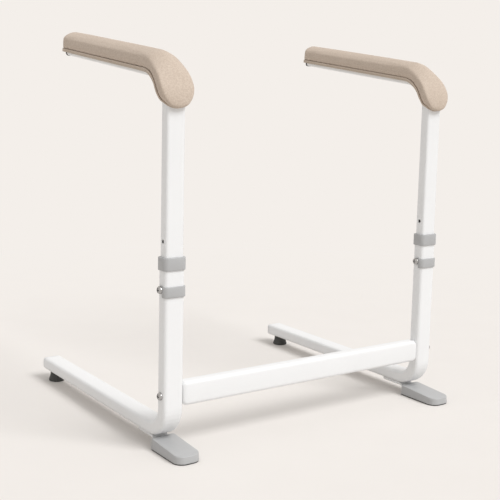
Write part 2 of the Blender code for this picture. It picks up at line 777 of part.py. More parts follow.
def shell_section(station):
    """One outline of the shell: rails beside the tube, joined by a saddle over it."""
    spot, outward = arm_frame(station)
    half = pad_half(station) - RAIL_INSET
    high = seam_level(station) - TOUCH
    low = high + TOUCH - blend(station, RAIL_HEIGHT, TONGUE_RAIL)
    inner = min(CHANNEL_HALF, half - 2 * SLIGHT)
    saddle = min(SADDLE_HALF, half - SLIGHT)
    top = high + SLIGHT + (SADDLE_TOP - high - SLIGHT) * (1 - ramp(station, SADDLE_END))
    roof = low + SLIGHT + (CHANNEL_TOP - low - SLIGHT) * (1 - ramp(station, CHANNEL_END))
    flat = [(-half, low), (-half, high), (-saddle, high), (-saddle, top),
            (saddle, top), (saddle, high), (half, high), (half, low),
            (inner, low), (inner, roof), (-inner, roof), (-inner, low)]
    return [spot + Vector((side, 0, 0)) + outward * up for side, up in flat]


def armrest_shell():
    """The rigid shell, with blind holes for its screws."""
    rings = [shell_section(station) for station in
             with_steps(SHELL_START, PAD_LENGTH - 2 * RAIL_INSET, (CHANNEL_END, SADDLE_END))]
    holes = [pin("screw_hole", SMALL_SCREW / 2 + FIT, spot,
                 spot + outward * (SADDLE_TOP - SCREW_SKIN))
             for spot, outward in armrest_screw_places()]
    return combine(loft("armrest_shell", rings), holes)


def armrest_screw_places():
    """Where the armrest is screwed on: points on the tube's centre line, and outward."""
    return [arm_frame(TONGUE_SCREW)] + [arm_frame(ARM_START + past) for past in ARMREST_SCREWS]


# Assembly

def build_meshes():
    """Model each kind of piece once; both side frames share the meshes."""
    seat = UPPER_DEPTH / 2 - UPPER_WALL - TOUCH
    low, high = bracket_tongue()
    return {
        "base_tube": base_tube(),
        "upper_tube": upper_tube(),
        "leg_end_plug": end_plug("leg_end_plug", BASE_WIDTH, BASE_DEPTH, BASE_CORNER,
                                 BASE_WALL, PLUG_FACE, PLUG_CROWN),
        "glide_plug": end_plug("glide_plug", UPPER_WIDTH, UPPER_DEPTH, UPPER_CORNER,
                               UPPER_WALL, GLIDE_FACE, GLIDE_CROWN),
        "arm_end_plug": end_plug("arm_end_plug", UPPER_WIDTH, UPPER_DEPTH, UPPER_CORNER,
                                 UPPER_WALL, ARM_PLUG_FACE, ARM_PLUG_CROWN),
        "crossbar_insert": crossbar_insert(),
        "collar": collar(),
        "clip": clip(),
        "front_foot": front_foot(),
        "front_foot_sole": front_foot_sole(),
        "front_foot_bracket": front_foot_bracket(),
        "rear_foot": rear_foot(),
        "rear_foot_nut": nut(),
        "armrest_pad": armrest_pad(),
        "armrest_shell": armrest_shell(),
        "adjusting_screw": screw("adjusting_screw", SCREW_TRAVEL + TOUCH + BASE_WALL),
        "crossbar_screw": screw("crossbar_screw", BASE_WIDTH + 0.8 * INSERT_DEPTH),
        "foot_screw": small_screw("front_foot_screw", high - foot_screw_seat()),
        "rear_foot_screw": small_screw("rear_foot_screw", LEG_BOTTOM + BASE_WALL + NUT_HEIGHT
                                       - REAR_FOOT_RECESS + 2 * TOUCH),
        "armrest_screw": small_screw("armrest_screw",
                                     SADDLE_TOP - SCREW_SKIN - TOUCH - seat),
    }


def build_side(side, direction, meshes, paint):
    """Put together one side frame on its own empties."""
    frame = hold(f"{side}_frame", (direction * POST_SPACING / 2, POST_Y, 0))
    upright = hold(f"{side}_upright", (0, 0, ADJUST_HEIGHT), frame)
    raised = Vector((0, 0, -ADJUST_HEIGHT))

    def fix(name, mesh, colour, at=(0, 0, 0), facing=(0, 0, 1)):
        add(f"{side}_{name}", meshes[mesh], paint[colour], frame, at, facing)

    def slide(name, mesh, colour, at=(0, 0, 0), facing=(0, 0, 1)):
        add(f"{side}_{name}", meshes[mesh], paint[colour], upright, raised + Vector(at), facing)

    fix("base_tube", "base_tube", "white_paint")
    fix("leg_end_plug", "leg_end_plug", "white_plastic",
        (0, LEG_REACH + TOUCH, LEG_HEIGHT), (0, 1, 0))
    fix("height_collar", "collar", "grey_plastic")
    fix("height_clip", "clip", "grey_plastic")
    fix("adjusting_screw", "adjusting_screw", "steel",
        (-BASE_WIDTH / 2 - TOUCH - SCREW_TRAVEL, 0, ADJUST_HEIGHT), (-1, 0, 0))
    fix("crossbar_screw", "crossbar_screw", "steel",
        (direction * (BASE_WIDTH / 2 + TOUCH), 0, BAR_HEIGHT), (direction, 0, 0))
    fix("crossbar_insert", "crossbar_insert", "white_plastic",
        (-direction * (BASE_WIDTH / 2 + TOUCH + INSERT_FACE), 0, BAR_HEIGHT),
        (direction, 0, 0))

    fix("front_foot_bracket", "front_foot_bracket", "white_paint")
    fix("front_foot", "front_foot", "grey_plastic")
    fix("front_foot_sole", "front_foot_sole", "black_rubber")
    for number, place in enumerate(FOOT_SCREWS, 1):
        fix(f"front_foot_screw_{number}", "foot_screw", "steel",
            (0, place, foot_screw_seat()), (0, 0, -1))
    fix("rear_foot", "rear_foot", "black_rubber", (0, REAR_FOOT_REACH, 0))
    fix("rear_foot_screw", "rear_foot_screw", "steel",
        (0, REAR_FOOT_REACH, REAR_FOOT_RECESS - TOUCH), (0, 0, -1))
    fix("rear_foot_nut", "rear_foot_nut", "steel",
        (0, REAR_FOOT_REACH, LEG_BOTTOM + BASE_WALL + TOUCH))

    slide("upper_tube", "upper_tube", "white_paint")
    slide("glide_plug", "glide_plug", "grey_plastic", (0, 0, UPPER_BOTTOM - TOUCH),
          (0, 0, -1))
    slide("arm_end_plug", "arm_end_plug", "dark_plastic",
          arm_frame(ARM_START + ARM_RUN + TOUCH)[0], arm_direction())
    slide("armrest_shell", "armrest_shell", "beige_plastic")
    slide("armrest_pad", "armrest_pad", "beige_cover")
    seat = UPPER_DEPTH / 2 - UPPER_WALL - TOUCH
    for number, (spot, outward) in enumerate(armrest_screw_places(), 1):
        slide(f"armrest_screw_{number}", "armrest_screw", "steel",
              spot + outward * seat, -outward)


def build():
    """Clear the scene and build the whole standing aid."""
    for item in list(bpy.data.objects):
        bpy.data.objects.remove(item)
    paint = {name: finish(name) for name in FINISHES}
    meshes = build_meshes()
    for side, direction in (("left", -1), ("right", 1)):
        build_side(side, direction, meshes, paint)
    add("crossbar", crossbar(), paint["white_paint"], None, (0, POST_Y, BAR_HEIGHT))


build()
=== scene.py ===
# %% [markdown]
# # A chair standing aid
#
# The real object is a free-standing frame that stands around the front of a chair. Two
# bent tubes of white powder-coated steel carry long padded armrests, and a low bar joins
# them. This lesson starts from a finished engineering model of that frame and dresses it.
# Every piece gets its finish, the armrests get soft covers with a piped seam on a moulded
# rail, and the feet, bands and crossbar get the soft edges of the real ones. All sizes
# are in metres.

# %% Load the engineering model
import json
import math

import bmesh
import bpy
from mathutils import Matrix, Vector


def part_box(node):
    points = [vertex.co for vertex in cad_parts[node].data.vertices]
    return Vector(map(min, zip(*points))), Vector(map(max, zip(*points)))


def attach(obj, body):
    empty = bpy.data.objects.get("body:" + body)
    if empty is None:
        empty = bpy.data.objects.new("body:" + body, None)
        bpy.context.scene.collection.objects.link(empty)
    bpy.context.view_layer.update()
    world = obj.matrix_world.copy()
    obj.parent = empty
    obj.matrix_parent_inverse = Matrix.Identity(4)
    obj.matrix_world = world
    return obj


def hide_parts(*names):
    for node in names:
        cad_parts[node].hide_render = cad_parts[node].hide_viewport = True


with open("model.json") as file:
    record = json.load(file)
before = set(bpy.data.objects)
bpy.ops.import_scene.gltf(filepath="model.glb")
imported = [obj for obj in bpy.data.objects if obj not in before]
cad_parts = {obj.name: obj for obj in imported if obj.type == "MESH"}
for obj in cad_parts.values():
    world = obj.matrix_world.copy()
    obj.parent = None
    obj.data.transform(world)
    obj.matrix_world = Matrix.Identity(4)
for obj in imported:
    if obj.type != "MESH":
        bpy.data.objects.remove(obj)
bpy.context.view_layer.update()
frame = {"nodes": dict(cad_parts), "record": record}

# %% [markdown]
# ## The camera
#
# The photograph was taken from the front left, a little under the height of the
# armrests. A camera can be aimed with three turns, but it is easier to check when its
# three axes are worked out first: the way it looks, the way to its right, and the way up.
# Those three axes are the columns of its rotation matrix. The turns are in radians.

# %% Aim the camera
CAMERA_PLACE = Vector((-1.12337, -1.62716, 0.63293))
LOOK_RIGHT, LOOK_DOWN, LEAN = 0.6102, 0.1373, 0.0228
LENS_MM, SENSOR_MM, LENS_SHIFT = 68.475, 36, -0.05

level = Vector((math.sin(LOOK_RIGHT), math.cos(LOOK_RIGHT), 0))
look = level * math.cos(LOOK_DOWN) - Vector((0, 0, math.sin(LOOK_DOWN)))
right = Vector((math.cos(LOOK_RIGHT), -math.sin(LOOK_RIGHT), 0))
up = right.cross(look)
leaning_right = right * math.cos(LEAN) + up * math.sin(LEAN)
leaning_up = up * math.cos(LEAN) - right * math.sin(LEAN)

camera_data = bpy.data.cameras.new("camera")
camera_data.lens = LENS_MM
camera_data.sensor_width = SENSOR_MM
camera_data.shift_y = LENS_SHIFT
camera = bpy.data.objects.new("camera", camera_data)
bpy.context.scene.collection.objects.link(camera)
axes = Matrix((leaning_right, leaning_up, -look)).transposed()
camera.matrix_world = Matrix.Translation(CAMERA_PLACE) @ axes.to_4x4()
bpy.context.scene.camera = camera
print("camera looks along", tuple(round(value, 3) for value in look))

# %% [markdown]
# ## Writing a finish as sums
#
# A finish is a small network of nodes. Placed one by one they hide what they mean, so
# this lesson writes them as plain sums. A Signal wraps one socket, and adding,
# multiplying or subtracting Signals adds the Math node that does it. Any other node comes
# from one method of Network, which takes the node's kind, its settings and its inputs.

# %% Signals and networks
class Signal:
    """A value in a network of nodes, which takes part in sums."""

    def __init__(self, network, socket):
        self.network, self.socket = network, socket

    def sum_with(self, operation, first, second):
        return self.network.node("ShaderNodeMath", {"operation": operation}, [first, second])

    def __add__(self, other):
        return self.sum_with("ADD", self, other)

    def __mul__(self, other):
        return self.sum_with("MULTIPLY", self, other)

    def __sub__(self, other):
        return self.sum_with("SUBTRACT", self, other)

    def __rsub__(self, other):
        return self.sum_with("SUBTRACT", other, self)

    def larger(self, other):
        return self.sum_with("MAXIMUM", self, other)

    def other(self, output):
        """Another output of the same node."""
        return Signal(self.network, self.socket.node.outputs[output])

    __radd__, __rmul__ = __add__, __mul__


class Network:
    """The nodes of one material or of the world."""

    def __init__(self, tree):
        self.tree = tree

    def plug(self, socket, value):
        if isinstance(value, Signal):
            self.tree.links.new(value.socket, socket)
        else:
            socket.default_value = value

    def node(self, kind, settings=None, inputs=(), output=0):
        """Add a node. The inputs are a list in order, or a dictionary by name."""
        made = self.tree.nodes.new(kind)
        for name, value in (settings or {}).items():
            setattr(made, name, value)
        pairs = inputs.items() if isinstance(inputs, dict) else enumerate(inputs)
        for key, value in pairs:
            self.plug(made.inputs[key], value)
        return Signal(self, made.outputs[output])

    def seen(self):
        """1 for the rays that show a background: straight on, mirrored or through glass."""
        ray = self.node("ShaderNodeLightPath", output="Is Camera Ray")
        return ray.larger(ray.other("Is Glossy Ray")).larger(ray.other("Is Transmission Ray"))

    def place(self):
        """The point on the object, in metres."""
        return self.node("ShaderNodeTexCoord", output="Object")

    def noise(self, size, detail=2.0, roughness=0.5):
        """Soft random variation from 0 to 1, with features about size metres across."""
        return self.node("ShaderNodeTexNoise", {"normalize": True},
                         {"Vector": self.place(), "Scale": 1 / size, "Detail": detail,
                          "Roughness": roughness}, "Fac")

    def cells(self, size):
        """A pattern of small cells, size metres across."""
        return self.node("ShaderNodeTexVoronoi", {"feature": "F1"},
                         {"Vector": self.place(), "Scale": 1 / size}, "Distance")

    def spread(self, signal, low, high):
        """Stretch the part of a signal between low and high to the range 0 to 1."""
        return self.node("ShaderNodeMapRange", {"clamp": True},
                         {"Value": signal, "From Min": low, "From Max": high})

    def mix(self, share, first, second):
        """Blend two colours. The node keeps its colour inputs at 6 and 7, and the blend at 2."""
        made = self.tree.nodes.new("ShaderNodeMix")
        made.data_type = "RGBA"
        self.plug(made.inputs[0], share)
        self.plug(made.inputs[6], first)
        self.plug(made.inputs[7], second)
        return Signal(self, made.outputs[2])


EDGE_SAMPLES = 6


class Finish(Network):
    """A material with one Principled shader."""

    def __init__(self, name, **constants):
        self.material = bpy.data.materials.new(name)
        self.material.use_nodes = True
        super().__init__(self.material.node_tree)
        self.shader = self.tree.nodes["Principled BSDF"]
        for socket, value in constants.items():
            self.shader.inputs[socket.replace("_", " ")].default_value = value

    def connect(self, socket, signal):
        self.plug(self.shader.inputs[socket], signal)

    def bumps(self, height, depth, soft_edge=0.0):
        """Raise the surface by height, a signal from 0 to 1, times depth in metres.

        A soft edge is the radius over which light rolls over the edges of the mesh.
        """
        relief = {"Strength": 1.0, "Distance": depth, "Height": height}
        if soft_edge:
            relief["Normal"] = self.node("ShaderNodeBevel", {"samples": EDGE_SAMPLES},
                                         {"Radius": soft_edge}, "Normal")
        self.connect("Normal", self.node("ShaderNodeBump", None, relief, "Normal"))


# %% [markdown]
# ## Powder coat on the tubes
#
# Powder coat is paint that was baked on as dust. It flows almost smooth, but a faint
# orange peel stays, with waves a millimetre or two apart. It shows only in the highlights,
# so it is a bump of a few microns under a thin clear gloss, and the colour barely varies.

# %% Powder coat
powder_coat = Finish("white_paint", IOR=1.5, Coat_Weight=0.3, Coat_Roughness=0.16)
peel = powder_coat.noise(0.0022, detail=1.0)
cloud = powder_coat.noise(0.09, detail=2.0)
powder_coat.connect("Base Color", powder_coat.mix(cloud, (0.86, 0.865, 0.87, 1),
                                                  (0.89, 0.895, 0.90, 1)))
powder_coat.connect("Roughness", powder_coat.spread(cloud, 0.2, 0.8) * 0.06 + 0.30)
powder_coat.bumps(peel, 0.00006, soft_edge=0.0035)
print("powder coat nodes:", len(powder_coat.tree.nodes))

# %% [markdown]
# ## Moulded plastic and rubber
#
# The grey collars, clips and feet are moulded in tools with a spark-eroded skin, which
# leaves a fine, even grain and a satin sheen. One helper serves every plastic: it takes
# two close shades, how rough it is and how deep the grain goes. Rubber is the same idea
# with a coarser grain and no sheen.

# %% Plastics and rubber
def moulded(name, dark, light, roughness, grain_size, grain_depth, soft_edge):
    """A moulded finish: two close shades, a fine grain, and a sheen that varies a little."""
    finish = Finish(name, IOR=1.48)
    cloud = finish.noise(0.03, detail=3.0)
    grain = finish.noise(grain_size, detail=3.0, roughness=0.65)
    shade = finish.spread(cloud * 0.6 + grain * 0.4, 0.3, 0.7)
    finish.connect("Base Color", finish.mix(shade, (*dark, 1), (*light, 1)))
    finish.connect("Roughness", finish.spread(cloud, 0.25, 0.75) * 0.08 + roughness - 0.04)
    finish.bumps(grain, grain_depth, soft_edge)
    return finish


grey_plastic = moulded("grey_plastic", (0.435, 0.438, 0.441), (0.485, 0.488, 0.491), 0.40,
                       0.0006, 0.00003, 0.0015)
white_plastic = moulded("white_plastic", (0.82, 0.825, 0.83), (0.86, 0.865, 0.87), 0.40,
                        0.0007, 0.00002, 0.0012)
dark_plastic = moulded("dark_plastic", (0.030, 0.030, 0.031), (0.045, 0.045, 0.046), 0.50,
                       0.0006, 0.00003, 0.0008)
beige_plastic = moulded("beige_plastic", (0.50, 0.415, 0.335), (0.55, 0.46, 0.375), 0.52,
                        0.0006, 0.00004, 0.0008)
black_rubber = moulded("black_rubber", (0.055, 0.055, 0.053), (0.085, 0.085, 0.082), 0.75,
                       0.0009, 0.00006, 0.0015)
plastics = (grey_plastic, white_plastic, dark_plastic, beige_plastic, black_rubber)
print("moulded finishes:", [finish.material.name for finish in plastics])

# %% [markdown]
# ## Plated steel
#
# The screw heads are bright plated. Polished metal is all reflection, so its look comes
# from the studio around it. Its colour is kept darker than bright plating, as a painted
# reflection of darker surroundings than this pale room. Fine turning marks and a slightly
# uneven plating are enough to keep it from looking like a mirror.

# %% Plated steel
plated_steel = Finish("steel", Metallic=1.0)
marks = plated_steel.noise(0.0012, detail=4.0, roughness=0.7)
tone = plated_steel.noise(0.006)
# Both greys are darker than real plating: painted dark reflection, varied by the uneven plating.
plated_steel.connect("Base Color", plated_steel.mix(tone, (0.36, 0.355, 0.35, 1),
                                                    (0.52, 0.515, 0.51, 1)))
plated_steel.connect("Roughness", plated_steel.spread(marks, 0.3, 0.7) * 0.14 + 0.14)
plated_steel.bumps(marks, 0.00001, soft_edge=0.0008)
print("steel nodes:", len(plated_steel.tree.nodes))

# %% [markdown]
# ## The armrest cover
#
# The covers are a soft beige vinyl with a fine leather grain. From a step away the grain
# reads as a faint speckle, up close as small raised cells with creases between them. Cells
# from a Voronoi pattern make the creases, sunk in the bump and painted a little darker as
# shade, a finer noise makes the pores, and a slow noise lets the colour drift, as it does
# on a stretched skin.

# %% Cover material
cover = Finish("beige_cover", Sheen_Weight=0.04, Sheen_Roughness=0.5, IOR=1.38)
cell = cover.cells(0.0014)
crease_with_painted_shade = cover.spread(cell, 0.15, 0.75)
pore = cover.noise(0.0005, detail=2.0)
speckle = cover.spread(cover.noise(0.0028, detail=3.0, roughness=0.80), 0.42, 0.61)
drift = cover.spread(cover.noise(0.04, detail=2.0), 0.3, 0.7)
base = cover.mix(drift, (0.535, 0.437, 0.355, 1), (0.565, 0.464, 0.382, 1))
dusted = cover.mix(speckle * 0.75, base, (0.69, 0.59, 0.495, 1))
# The creases are mixed towards a darker brown: painted shade in the grain's hollows, while the
# bump and roughness give their real relief.
cover.connect("Base Color", cover.mix(crease_with_painted_shade * 0.20, dusted, (0.46, 0.365, 0.29, 1)))
cover.connect("Roughness", crease_with_painted_shade * 0.10 + drift * 0.06 + 0.58)
cover.bumps((1 - crease_with_painted_shade) * 0.7 + pore * 0.3, 0.00010)
print("cover nodes:", len(cover.tree.nodes))

# %% [markdown]
# ## Dressing the engineering model
#
# Most hard pieces already have their true shape, so they keep their mesh and only get a
# finish. The few that need a softer form are modelled anew further on, and take the place
# of their solids. The record says which material slot each piece has, and each slot has
# one finish here.

# %% Assign the finishes
FINISHES = {
    "white_paint": powder_coat, "white_plastic": white_plastic,
    "grey_plastic": grey_plastic, "dark_plastic": dark_plastic,
    "black_rubber": black_rubber, "steel": plated_steel, "beige_cover": cover,
    "beige_plastic": beige_plastic,
}


def coat(piece, finish):
    """Give a piece one finish in place of any that it has."""
    piece.data.materials.clear()
    piece.data.materials.append(finish.material)
    return piece


for entry in frame["record"]["subparts"]:
    coat(frame["nodes"][entry["node"]], FINISHES[entry["material_slot"]])
print("dressed:", len(frame["nodes"]))

# %% [markdown]
# ## An armrest as a straight strip
#
# The armrest tube comes up out of the upright, turns back round a bend and rises a little.
# What lies on it is easier to think of as a straight strip, which is then rolled over the
# bend. Along the strip a point has three numbers: how far across it is, how far along
# from the tip of the tongue, and how far out from the tube's centre line.

# %% Roll and unroll
BEND_FROM, BEND_HEIGHT = 0.0054, 0.610
BEND_RADIUS, BEND_ANGLE = 0.060, math.radians(83)
ARM_RUN, REAR_OVERHANG = 0.344, 0.012
STRIP_LENGTH = BEND_FROM + BEND_RADIUS * BEND_ANGLE + ARM_RUN + REAR_OVERHANG
UPPER_POST_DEEP = 0.0214
left_tube_low, left_tube_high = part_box("left_upper_tube")
bend_centre = Vector(((left_tube_low.x + left_tube_high.x) / 2,
                      left_tube_low.y + UPPER_POST_DEEP / 2 + BEND_RADIUS, BEND_HEIGHT))


def ways(turn):
    """Outward from the tube and forward along it, after a turn round the bend."""
    return (Vector((0, -math.cos(turn), math.sin(turn))),
            Vector((0, math.sin(turn), math.cos(turn))))


def rolled(across, along, out):
    """Where a point of the strip lies on the left armrest."""
    turn = min(max(along - BEND_FROM, 0) / BEND_RADIUS, BEND_ANGLE)
    outward, forward = ways(turn)
    straight = along - BEND_FROM - turn * BEND_RADIUS
    return (bend_centre + outward * (BEND_RADIUS + out) + forward * straight
            + Vector((across, 0, 0)))


def unrolled(spot):
    """The reverse: across, along and out for a point near the left armrest."""
    arm = spot - bend_centre
    turn = min(max(math.atan2(arm.z, -arm.y), 0), BEND_ANGLE)
    outward, forward = ways(turn)
    return (arm.x, BEND_FROM + turn * BEND_RADIUS + arm.dot(forward),
            arm.dot(outward) - BEND_RADIUS)


print("strip length (mm):", round(STRIP_LENGTH * 1000, 1))

# %% [markdown]
# The strip is 62 mm wide along the arm and flares to a round tongue in front of the
# upright. Its seam runs just above the middle of the tube, and climbs over the upright at
# the tip. These few curves shape everything that follows.

# %% Outline of the strip
ARM_WIDTH, TONGUE_WIDTH = 0.062, 0.069
TIP_ROUND, REAR_ROUND, REAR_SQUARE = 0.033, 0.024, 2.4
SEAM_OUT, SEAM_AT_TIP = 0.0033, 0.0110
SEAM_CLIMB_FROM, SEAM_CLIMB_TO = 0.0055, 0.0150
END_STEPS = 14


def eased(share):
    """Ease from 0 to 1."""
    share = min(max(share, 0), 1)
    return share * share * (3 - 2 * share)


def changing(along, on_arm, at_tongue):
    """A size that changes from the arm's to the tongue's round the bend."""
    arm_from = BEND_FROM + BEND_RADIUS * BEND_ANGLE
    share = eased((arm_from - along) / (arm_from - TIP_ROUND))
    return on_arm + (at_tongue - on_arm) * share


def half_width(along):
    """Half the strip's width, which closes in a round at both ends."""
    half = changing(along, ARM_WIDTH, TONGUE_WIDTH) / 2
    if along < TIP_ROUND:
        half *= math.sqrt(max(1 - (1 - along / TIP_ROUND) ** 2, 0))
    past = max(along - (STRIP_LENGTH - REAR_ROUND), 0) / REAR_ROUND
    return half * max(1 - past ** REAR_SQUARE, 0) ** (1 / REAR_SQUARE)


def seam_out(along):
    """How far out the seam runs."""
    climb = eased((SEAM_CLIMB_TO - along) / (SEAM_CLIMB_TO - SEAM_CLIMB_FROM))
    return SEAM_OUT + (SEAM_AT_TIP - SEAM_OUT) * climb


def steps_along(count):
    """Places along the strip: close together in its round ends, even between."""
    tip = [TIP_ROUND * (1 - math.cos(math.pi / 2 * step / END_STEPS))
           for step in range(END_STEPS)]
    rear = [STRIP_LENGTH - REAR_ROUND * (1 - math.sin(math.pi / 2 * step / END_STEPS))
            for step in range(1, END_STEPS + 1)]
    gap = (STRIP_LENGTH - REAR_ROUND - TIP_ROUND) / count
    middle = [TIP_ROUND + gap * step for step in range(count + 1)]
    return tip + middle + rear


def drawn_in(along, inset):
    """Half the width and the place along, for an outline a little inside the strip's."""
    half = half_width(along)
    widest = changing(along, ARM_WIDTH, TONGUE_WIDTH) / 2
    return (half * (1 - inset / widest),
            inset + along * (STRIP_LENGTH - 2 * inset) / STRIP_LENGTH)


print("half width at the bend (mm):", round(half_width(0.05) * 1000, 1))

# %% [markdown]
# ## The padded covers
#
# Each cover is foam under a stretched skin: crowned along the top, with a soft shoulder
# and a side that draws in at the seam. It starts as rings across the strip, joined with
# bridge_loops, then it is remeshed into small even faces. Cloth under a little pressure
# fills it out as foam does. How far a point may move is capped, and the underside stays
# still. Both covers are alike, so the second one is a shifted copy of the first.

# %% Loft a cover
ARM_THICK, TONGUE_THICK = 0.0335, 0.0205
ARM_CROWN, TONGUE_CROWN = 0.0175, 0.0020
ARM_SHOULDER, TONGUE_SHOULDER = 0.0045, 0.0025
CROWN_POWER = 1.6
END_FALL, END_SHARE = 0.006, 0.74
SEAM_PULL = 0.0006
SIDE_PROFILE = ((1, 0), (0.35, 0.3), (0, 0.6))
ROOM_TO_SWELL = 0.0010
LEAST_HALF, MOST_OF_HALF, MOST_PULL = 0.0008, 0.4, 0.3
COVER_STEPS, CROWN_POINTS, SHOULDER_POINTS = 40, 8, 5


def link(name, mesh):
    """Put a mesh in the scene as an object at the origin."""
    piece = bpy.data.objects.new(name, mesh)
    bpy.context.scene.collection.objects.link(piece)
    return piece


def draw_ring(bm, spots):
    """Draw a closed ring of edges through some points."""
    verts = [bm.verts.new(spot) for spot in spots]
    return [bm.edges.new(pair) for pair in zip(verts, verts[1:] + verts[:1])]


def loft(name, rings, endless=False):
    """Join rings of points with skin. Both ends are closed, or joined to each other."""
    bm = bmesh.new()
    drawn = [draw_ring(bm, spots) for spots in rings]
    for near, far in zip(drawn, drawn[1:] + drawn[:1] if endless else drawn[1:]):
        bmesh.ops.bridge_loops(bm, edges=near + far)
    if not endless:
        bmesh.ops.holes_fill(bm, edges=drawn[0] + drawn[-1])
    bmesh.ops.recalc_face_normals(bm, faces=bm.faces)
    mesh = bpy.data.meshes.new(name)
    bm.to_mesh(mesh)
    bm.free()
    return link(name, mesh)


def cover_ring(along):
    """The outline of the cover across the strip."""
    half, spot_along = drawn_in(along, ROOM_TO_SWELL)
    half = max(half, LEAST_HALF)
    seam = seam_out(along)
    end = min(along, STRIP_LENGTH - along)
    fall = max(1 - end / END_FALL, 0)
    thick = changing(along, ARM_THICK, TONGUE_THICK) - ROOM_TO_SWELL
    top = SEAM_OUT + thick * (END_SHARE + (1 - END_SHARE) * math.sqrt(1 - fall ** 2))
    crown = min(changing(along, ARM_CROWN, TONGUE_CROWN), MOST_OF_HALF * half)
    shoulder = min(changing(along, ARM_SHOULDER, TONGUE_SHOULDER), MOST_OF_HALF * half)
    pull = min(SEAM_PULL, MOST_PULL * half)
    corner = top - crown
    inner = half - shoulder
    inner_out = top - crown * (inner / half) ** CROWN_POWER
    side = [(half - inward * pull, seam + rise * (corner - seam))
            for inward, rise in SIDE_PROFILE]
    for step in range(SHOULDER_POINTS + 1):
        share = step / SHOULDER_POINTS
        side.append((half - shoulder * share ** 2,
                     corner - shoulder * (1 - share) ** 2 + (inner_out - corner) * share ** 2))
    for step in range(1, CROWN_POINTS + 1):
        across = inner * (1 - step / CROWN_POINTS)
        side.append((across, top - crown * (across / half) ** CROWN_POWER))
    mirrored = [(-across, out) for across, out in side[-2::-1]]
    return [rolled(across, spot_along, out) for across, out in side + mirrored]


left_cover = loft("left_armrest_cover", [cover_ring(along)
                                           for along in steps_along(COVER_STEPS)])
print("cover faces:", len(left_cover.data.polygons))

# %% Remesh it and even it out
PAD_VOXEL, SOFTEN_ROUNDS = 0.0022, 2


def settle(piece):
    """Replace an object's mesh with what its modifiers make of it."""
    depsgraph = bpy.context.evaluated_depsgraph_get()
    mesh = bpy.data.meshes.new_from_object(piece.evaluated_get(depsgraph))
    piece.modifiers.clear()
    piece.data = mesh
    return piece


def soften(piece, rounds):
    """Even out the steps that the remesh leaves."""
    bm = bmesh.new()
    bm.from_mesh(piece.data)
    for _ in range(rounds):
        bmesh.ops.smooth_vert(bm, verts=bm.verts, factor=0.5, use_axis_x=True,
                              use_axis_y=True, use_axis_z=True)
    bm.to_mesh(piece.data)
    bm.free()
    return piece


remesh = left_cover.modifiers.new("remesh", "REMESH")
remesh.mode, remesh.voxel_size = "VOXEL", PAD_VOXEL
soften(settle(left_cover), SOFTEN_ROUNDS)
print("remeshed faces:", len(left_cover.data.polygons))

# %% Fill it out
SWELL_CAP, STILL_BAND = 0.0007, 0.0015
SKIN_MASS, PRESSURE, CLOTH_STEPS = 0.3, 4.0, 20


def swell(piece, still, cap):
    """Blow the piece up with cloth, keep some points still, and cap how far others move."""
    group = piece.vertex_groups.new(name="still")
    group.add(still, 1.0, "REPLACE")
    before = [vert.co.copy() for vert in piece.data.vertices]
    cloth = piece.modifiers.new("cloth", "CLOTH")
    cloth.settings.quality = 5
    cloth.settings.mass = SKIN_MASS
    cloth.settings.use_pressure = True
    cloth.settings.uniform_pressure_force = PRESSURE
    cloth.settings.vertex_group_mass = "still"
    cloth.settings.effector_weights.gravity = 0.0
    scene = bpy.context.scene
    for step in range(1, CLOTH_STEPS + 1):
        scene.frame_set(step)
    settle(piece)
    moves = [(vert.co - was).length for vert, was in zip(piece.data.vertices, before)]
    for vert, was, move in zip(piece.data.vertices, before, moves):
        if move > cap:
            vert.co = was + (vert.co - was) * (cap / move)
    scene.frame_set(1)
    piece.vertex_groups.clear()
    return sum(moves) / len(moves)


def is_underside(spot):
    """True close to the seam and below it, where the cover rests on its rail."""
    _, along, out = unrolled(spot)
    return out < seam_out(along) + STILL_BAND


def wear(piece, finish):
    """Give a new piece a smooth skin and its finish."""
    piece.data.shade_smooth()
    return coat(piece, finish)


underside = [vert.index for vert in left_cover.data.vertices if is_underside(vert.co)]
mean_move = swell(left_cover, underside, SWELL_CAP)
soften(left_cover, SOFTEN_ROUNDS)
print("mean move (mm):", round(mean_move * 1000, 2))
finer = left_cover.modifiers.new("finer", "SUBSURF")
finer.levels = finer.render_levels = 1
wear(settle(left_cover), cover)
print("cover faces after filling:", len(left_cover.data.polygons))

# %% [markdown]
# ## The piped seam
#
# A thin piping of the cover's own vinyl is sewn in where the cover meets its rail. It runs
# once around the strip. At every spot of the edge a small oval is drawn across it, and the
# ovals are joined into one endless bead.

# %% Piping
PIPING_OUTWARD, PIPING_TALL = 0.0013, 0.0017
PIPING_INSET, PIPING_DROP = 0.0016, 0.0014
PIPING_STEPS, SECTION_POINTS = 60, 10


def edge_path(inset):
    """Spots around the strip's edge, each with the direction away from the strip."""
    side = [drawn_in(along, inset) for along in steps_along(PIPING_STEPS)]
    loop = side + [(-across, along) for across, along in side[-2:0:-1]]
    path = []
    for number, spot in enumerate(loop):
        before, after = loop[number - 1], loop[(number + 1) % len(loop)]
        run, drift = after[0] - before[0], after[1] - before[1]
        length = math.hypot(run, drift)
        path.append((spot, (drift / length, -run / length)))
    return path


def bead_ring(spot, away, middle, outward, tall):
    """The round section of a bead at one spot of the edge."""
    ring = []
    for point in range(SECTION_POINTS):
        angle = 2 * math.pi * point / SECTION_POINTS
        reach, rise = outward * math.cos(angle), tall * math.sin(angle)
        ring.append(rolled(spot[0] + away[0] * reach, spot[1] + away[1] * reach,
                           middle + rise))
    return ring


left_piping = wear(loft("left_armrest_piping", [
    bead_ring(spot, away, seam_out(spot[1]) - PIPING_DROP, PIPING_OUTWARD, PIPING_TALL)
    for spot, away in edge_path(PIPING_INSET)], endless=True), cover)
print("piping faces:", len(left_piping.data.polygons))

# %% [markdown]
# ## The moulded rail
#
# Under the piping sits the shell that carries the cover, a moulded strip that straddles
# the tube. The engineering solid has all of it, so a copy is enough. Its points are pushed
# up and in, which makes the rail shallower, narrower and shorter than the solid's, so that
# the white tube shows below it.

